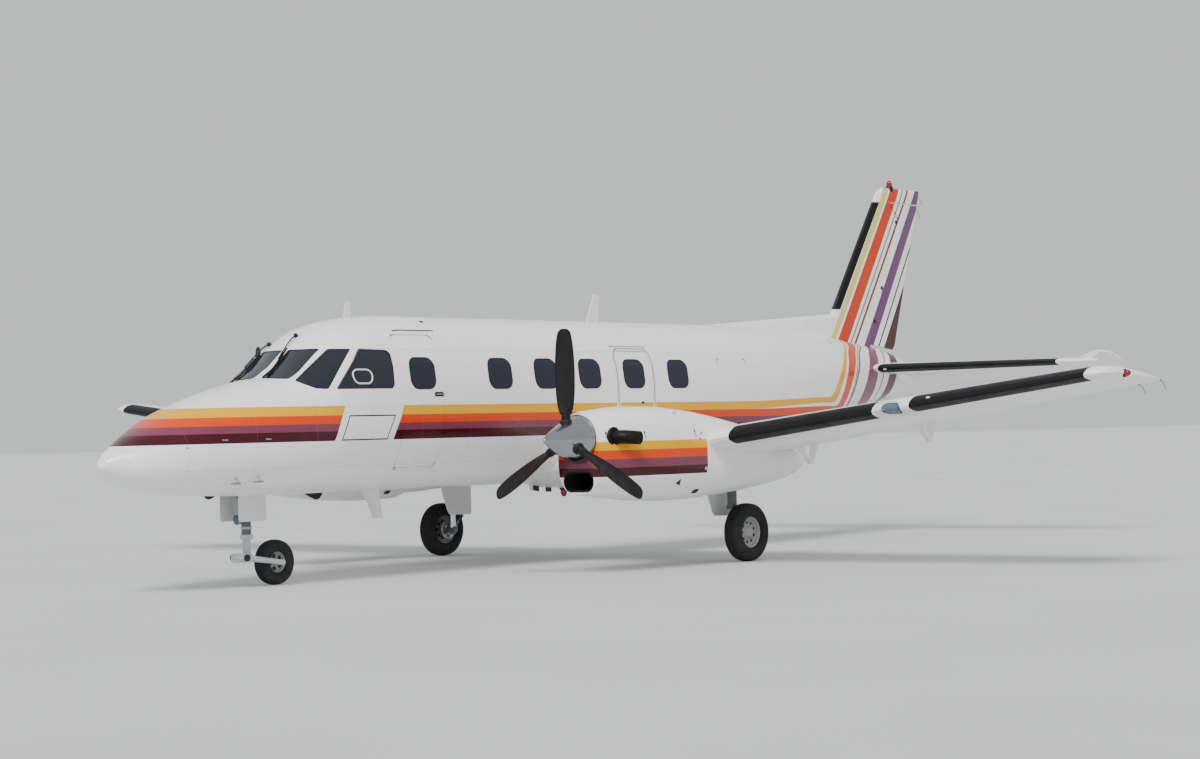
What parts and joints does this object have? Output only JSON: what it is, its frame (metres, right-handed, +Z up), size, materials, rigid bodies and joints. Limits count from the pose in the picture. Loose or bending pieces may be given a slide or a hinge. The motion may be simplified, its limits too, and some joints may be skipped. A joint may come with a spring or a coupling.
{
  "type": "twin turboprop commuter airliner",
  "caption": "Low-wing pressurised commuter airliner with two turboprop engines, tricycle landing gear, a swept fin and a tailplane set low on the tail cone.",
  "frame": {"origin": "on the ground, midway between the nose tip and the rudder tip, on the centre plane", "axes": "+X to port, +Y aft, +Z up; the nose points to -Y"},
  "size_m": [15.33, 15.1, 4.92],
  "materials": {
    "white_skin": "gloss white paint",
    "cowl_skin": "gloss white paint",
    "glass": "polished",
    "tyre": "matte",
    "black_rubber": "matte",
    "wheel_metal": "satin",
    "gear_metal": "satin",
    "engine_metal": "heat darkened",
    "propeller_black": "satin",
    "spinner_metal": "polished",
    "panel_grey": "matte",
    "seat_leather": "matte"
  },
  "bodies": {
    "airframe": {"nose_cone": "white_skin", "flight_deck_shell": "white_skin", "cabin_shell": "white_skin", "rear_fuselage": "white_skin", "fin": "white_skin", "tail_cone": "white_skin", "tailplane": "white_skin", "ventral_fin": "white_skin", "aerial_forward": "black_rubber", "aerial_aft": "white_skin", "aerial_belly": "white_skin", "nose_strut": "gear_metal", "instrument_panel": "panel_grey", "windscreen_port": "glass", "windscreen_starboard": "glass", "quarter_window_port": "glass", "quarter_window_starboard": "glass", "side_window_port": "glass", "side_window_starboard": "glass", "overwing_exit_port": "white_skin", "overwing_exit_starboard": "white_skin", "wing_port": "white_skin", "wing_starboard": "white_skin", "nacelle_port": "cowl_skin", "nacelle_starboard": "cowl_skin", "engine_port": "engine_metal", "engine_starboard": "engine_metal", "main_leg_port": "gear_metal", "main_leg_starboard": "gear_metal", "main_gear_door_port": "white_skin", "main_gear_door_starboard": "white_skin", "nose_gear_door_port": "white_skin", "nose_gear_door_starboard": "white_skin", "seat_port": "seat_leather", "seat_starboard": "seat_leather"},
    "propeller_port": {"propeller_port": "propeller_black", "spinner_port": "spinner_metal"},
    "propeller_starboard": {"propeller_starboard": "propeller_black", "spinner_starboard": "spinner_metal"},
    "main_wheel_port": {"main_tyre_port": "tyre", "main_rim_port": "wheel_metal"},
    "main_wheel_starboard": {"main_tyre_starboard": "tyre", "main_rim_starboard": "wheel_metal"},
    "nose_leg_lower": {"nose_fork": "gear_metal"},
    "nose_wheel": {"nose_tyre": "tyre", "nose_rim": "wheel_metal"},
    "aileron_port": {"aileron_port": "white_skin"},
    "aileron_starboard": {"aileron_starboard": "white_skin"},
    "flaps_port": {"inner_flap_port": "white_skin", "outer_flap_port": "white_skin"},
    "flaps_starboard": {"inner_flap_starboard": "white_skin", "outer_flap_starboard": "white_skin"},
    "elevators": {"elevator_port": "white_skin", "elevator_starboard": "white_skin"},
    "rudder": {"rudder": "white_skin"},
    "forward_door": {"forward_door": "white_skin"}
  },
  "joints": [
    {"name": "propeller_port_spin", "type": "hinge", "parent": "airframe", "child": "propeller_port", "pos_m": [2.4, -3.23, 1.46], "axis": [0, 1, 0], "continuous": true},
    {"name": "propeller_starboard_spin", "type": "hinge", "parent": "airframe", "child": "propeller_starboard", "pos_m": [-2.4, -3.23, 1.46], "axis": [0, 1, 0], "continuous": true},
    {"name": "main_wheel_port_spin", "type": "hinge", "parent": "airframe", "child": "main_wheel_port", "pos_m": [2.43, -0.12, 0.335], "axis": [1, 0, 0], "continuous": true},
    {"name": "main_wheel_starboard_spin", "type": "hinge", "parent": "airframe", "child": "main_wheel_starboard", "pos_m": [-2.43, -0.12, 0.335], "axis": [1, 0, 0], "continuous": true},
    {"name": "nose_wheel_steering", "type": "hinge", "parent": "airframe", "child": "nose_leg_lower", "pos_m": [0, -5.625, 0.55], "axis": [0, 0, 1], "range_deg": [-45, 45]},
    {"name": "nose_wheel_spin", "type": "hinge", "parent": "nose_leg_lower", "child": "nose_wheel", "pos_m": [0, -5.24, 0.24], "axis": [1, 0, 0], "continuous": true},
    {"name": "aileron_port_hinge", "type": "hinge", "parent": "airframe", "child": "aileron_port", "pos_m": [5.05, -0.0531, 1.6345], "axis": [0.9905, -0.0536, 0.1266], "range_deg": [-20, 20]},
    {"name": "aileron_starboard_hinge", "type": "hinge", "parent": "airframe", "child": "aileron_starboard", "pos_m": [-5.05, -0.0531, 1.6345], "axis": [0.9905, 0.0536, -0.1266], "range_deg": [-20, 20]},
    {"name": "flaps_port_hinge", "type": "hinge", "parent": "airframe", "child": "flaps_port", "pos_m": [0.9, 0.1495, 0.8135], "axis": [-0.9895, 0.0523, -0.1348], "range_deg": [0, 35]},
    {"name": "flaps_starboard_hinge", "type": "hinge", "parent": "airframe", "child": "flaps_starboard", "pos_m": [-0.9, 0.1495, 0.8135], "axis": [-0.9895, -0.0523, 0.1348], "range_deg": [0, 35]},
    {"name": "elevator_hinge", "type": "hinge", "parent": "airframe", "child": "elevators", "pos_m": [0, 6.53, 2.32], "axis": [1, 0, 0], "range_deg": [0, 45]},
    {"name": "rudder_hinge", "type": "hinge", "parent": "airframe", "child": "rudder", "pos_m": [0, 6.1204, 2.668], "axis": [0, 0.4079, 0.913], "range_deg": [-25, 25]},
    {"name": "forward_door_hinge", "type": "hinge", "parent": "airframe", "child": "forward_door", "pos_m": [0.652, -3.785, 1.192], "axis": [0, 1, 0], "range_deg": [0, 125]}
  ],
  "couplings": [
    {"joint": "aileron_starboard_hinge", "follows": "aileron_port_hinge", "ratio": -1},
    {"joint": "flaps_starboard_hinge", "follows": "flaps_port_hinge", "ratio": 1}
  ]
}
